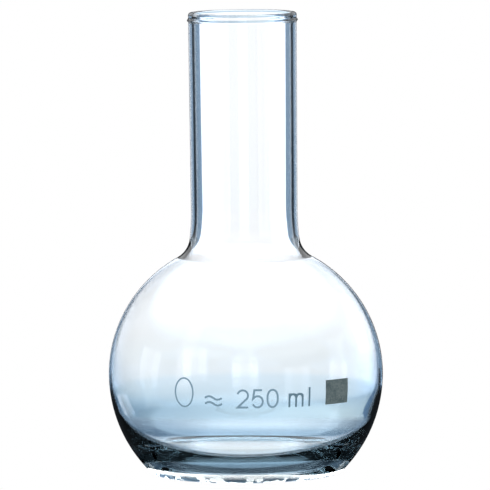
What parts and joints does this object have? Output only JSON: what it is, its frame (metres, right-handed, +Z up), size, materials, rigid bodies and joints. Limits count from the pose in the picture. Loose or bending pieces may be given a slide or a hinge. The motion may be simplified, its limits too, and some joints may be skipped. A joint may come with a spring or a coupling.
{
  "type": "flat-bottom boiling flask",
  "caption": "Clear glass boiling flask: near-spherical bulb cut off by a flat base, straight narrow neck with a fire-polished lip, capacity print on the bulb.",
  "frame": {"origin": "centre of the flat standing ring, on the surface that the flask stands on", "axes": "+Z up along the flask's axis through the neck; the print faces -Y"},
  "size_m": [0.086, 0.0863, 0.1446],
  "materials": {
    "clear_glass": "clear, polished",
    "print_enamel": "fired enamel, satin",
    "patch_enamel": "fired enamel, matt"
  },
  "bodies": {
    "root": {"flask_glass": "clear_glass", "mark_oval": "print_enamel", "approx_wave_lower": "print_enamel", "approx_wave_upper": "print_enamel", "digit_2": "print_enamel", "digit_5": "print_enamel", "digit_0": "print_enamel", "letter_m": "print_enamel", "letter_l": "print_enamel", "write_on_patch": "patch_enamel"}
  },
  "joints": []
}
